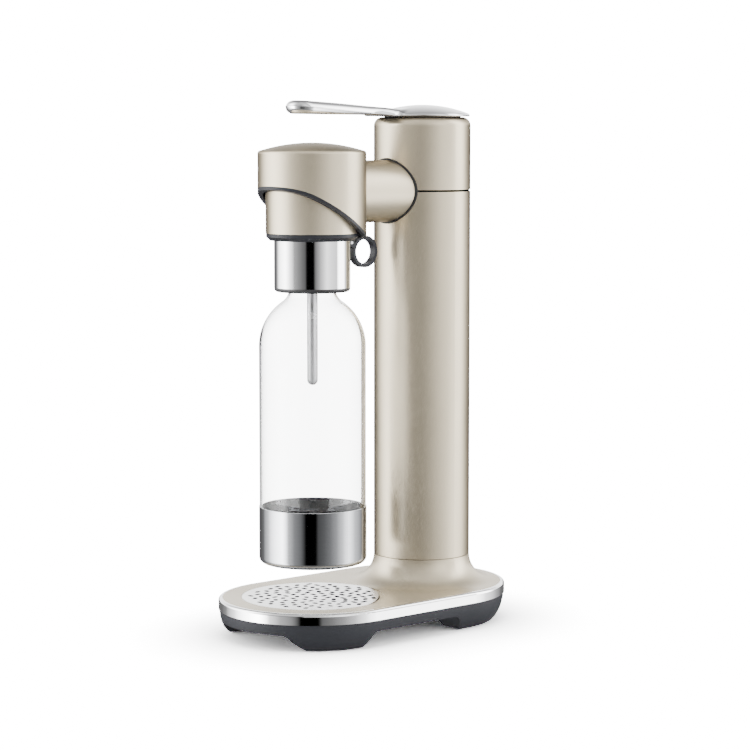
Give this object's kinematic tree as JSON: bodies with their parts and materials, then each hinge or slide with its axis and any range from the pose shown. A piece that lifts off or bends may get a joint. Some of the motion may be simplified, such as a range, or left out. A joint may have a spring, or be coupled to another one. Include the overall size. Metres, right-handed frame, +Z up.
{
  "type": "sparkling water maker",
  "caption": "Countertop sparkling water maker: stadium base with a drip tray, round column hiding a gas cylinder, press lever, and an arm whose head holds a capped clear bottle.",
  "frame": {"origin": "centre of the footprint on the table", "axes": "+Z up, the bottle and the front face -Y, +X to the right as the user stands in front"},
  "size_m": [0.151, 0.2594, 0.4248],
  "materials": {
    "housing": "fine-grained dark slate plastic",
    "chrome": "mirror-bright plating",
    "paint": "champagne satin metallic paint",
    "rubber": "matt black rubber",
    "screw_steel": "plain steel fastener",
    "tray_steel": "satin perforated sheet",
    "inner_plastic": "moulded dark plastic",
    "frame_metal": "cast and machined",
    "cylinder_metal": "lacquered light grey",
    "brass": "turned",
    "rod_steel": "satin steel",
    "lever_plastic": "matt black plastic",
    "slate_plastic": "satin slate plastic",
    "bottle_clear": "clear moulded plastic",
    "cup_steel": "polished steel"
  },
  "bodies": {
    "base": {"base_bottom": "housing", "base_trim": "chrome", "base_top": "paint", "drip_pan": "inner_plastic", "foot_pads": "rubber", "base_screws": "screw_steel", "cylinder_seat": "inner_plastic", "column_frame": "frame_metal", "column_shell": "paint", "seam_gasket": "rubber", "tower_head": "paint", "tower_screws": "screw_steel", "valve_block": "frame_metal", "cylinder_seal": "rubber", "safety_plug": "brass", "block_screws": "screw_steel", "plunger_spring": "rod_steel", "pivot_bracket": "frame_metal", "lever_pin": "screw_steel", "arm_tube": "paint", "arm_gasket": "rubber", "arm_screws": "screw_steel", "gas_pipe": "rod_steel", "head_shell": "paint", "head_rim": "slate_plastic", "cap_dock": "inner_plastic", "dock_screws": "screw_steel", "nozzle": "rod_steel", "nozzle_seal": "rubber"},
    "tray": {"drip_tray": "tray_steel"},
    "back_cover": {"rear_cover": "paint"},
    "gas": {"gas_cylinder": "cylinder_metal", "cylinder_valve": "brass"},
    "valve_pin": {"valve_pin": "brass"},
    "plunger": {"plunger": "rod_steel"},
    "lever": {"lever": "chrome", "lever_base": "lever_plastic", "lever_screws": "screw_steel"},
    "cap": {"cap_sleeve": "paint", "cap_core": "inner_plastic", "cap_collar": "slate_plastic", "ring_pin": "screw_steel", "relief_valve": "brass", "cap_grip": "chrome", "grip_lip": "lever_plastic", "thread_insert": "inner_plastic", "bottle_seal": "rubber", "dip_tube": "rod_steel"},
    "ring": {"release_ring": "slate_plastic"},
    "bottle": {"bottle": "bottle_clear", "bottle_base": "cup_steel"}
  },
  "joints": [
    {"name": "tray_lift", "type": "slide", "parent": "base", "child": "tray", "axis": [0, 0, 1], "range_m": [0, 0.007]},
    {"name": "cover_pull", "type": "slide", "parent": "base", "child": "back_cover", "axis": [0, 1, 0], "range_m": [0, 0.06]},
    {"name": "gas_turn", "type": "hinge", "parent": "base", "child": "gas", "pos_m": [0, 0.06355, 0.2], "axis": [0, 0, 1], "range_deg": [0, 1080]},
    {"name": "lever_press", "type": "hinge", "parent": "base", "child": "lever", "pos_m": [0, 0.09055, 0.402], "axis": [1, 0, 0], "range_deg": [0, 1.8], "stiffness_Nm_per_rad": 6, "springref_deg": -5.73},
    {"name": "plunger_push", "type": "slide", "parent": "base", "child": "plunger", "axis": [0, 0, -1], "range_m": [0, 0.00095], "deforming": ["plunger_spring"]},
    {"name": "pin_push", "type": "slide", "parent": "gas", "child": "valve_pin", "axis": [0, 0, -1], "range_m": [0, 0.00095]},
    {"name": "cap_drop", "type": "slide", "parent": "base", "child": "cap", "axis": [0, 0, -1], "range_m": [0, 0.02]},
    {"name": "ring_pull", "type": "hinge", "parent": "cap", "child": "ring", "pos_m": [0, -0.01775, 0.3123], "axis": [-1, 0, 0], "range_deg": [0, 25], "stiffness_Nm_per_rad": 0.02, "springref_deg": -11.46},
    {"name": "bottle_turn", "type": "hinge", "parent": "cap", "child": "bottle", "pos_m": [0, -0.05425, 0.2], "axis": [0, 0, 1], "range_deg": [0, 360]}
  ],
  "couplings": [
    {"joint": "plunger_push", "follows": "lever_press", "m_per_rad": 0.03},
    {"joint": "pin_push", "follows": "lever_press", "m_per_rad": 0.03}
  ]
}
